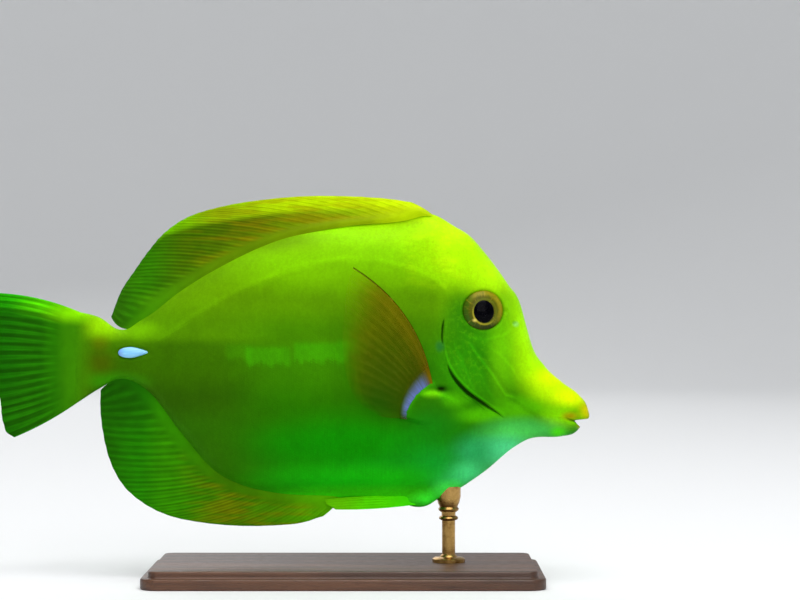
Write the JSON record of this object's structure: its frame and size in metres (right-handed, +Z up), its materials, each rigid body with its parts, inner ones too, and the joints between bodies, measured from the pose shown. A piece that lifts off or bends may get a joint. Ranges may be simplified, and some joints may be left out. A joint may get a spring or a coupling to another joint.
{
  "type": "yellow tang fish model on stand",
  "caption": "Life-size yellow tang with folded dorsal fin, spread pectoral fins and slightly open mouth, held level over a flat base by a short rod, for display.",
  "frame": {"origin": "centre of the underside of the stand's base", "axes": "+X runs from tail to snout, +Y to the fish's left side, +Z up"},
  "size_m": [0.1679, 0.056, 0.1076],
  "materials": {
    "body_skin": "fine-scaled skin, satin, lime yellow above and green below",
    "fin_skin": "thin ribbed membrane, satin, yellow green",
    "eye": "wet gloss, gold brown iris round a black pupil",
    "tail_spine": "smooth horn, bluish white",
    "stand_wood": "dark stained, satin varnish",
    "stand_brass": "turned, polished"
  },
  "bodies": {
    "root": {"trunk": "body_skin", "tail_stalk": "body_skin", "head": "body_skin", "upper_lip": "body_skin", "lower_jaw": "body_skin", "gill_cover_right": "body_skin", "gill_cover_left": "body_skin", "dorsal_fin": "fin_skin", "anal_fin": "fin_skin", "caudal_fin": "fin_skin", "pectoral_fin_right": "fin_skin", "pectoral_fin_left": "fin_skin", "pelvic_fin_right": "fin_skin", "pelvic_fin_left": "fin_skin", "eye_right": "eye", "eye_left": "eye", "tail_spine_right": "tail_spine", "tail_spine_left": "tail_spine", "stand_base": "stand_wood", "stand_rod": "stand_brass", "stand_collar": "stand_brass"}
  },
  "joints": []
}
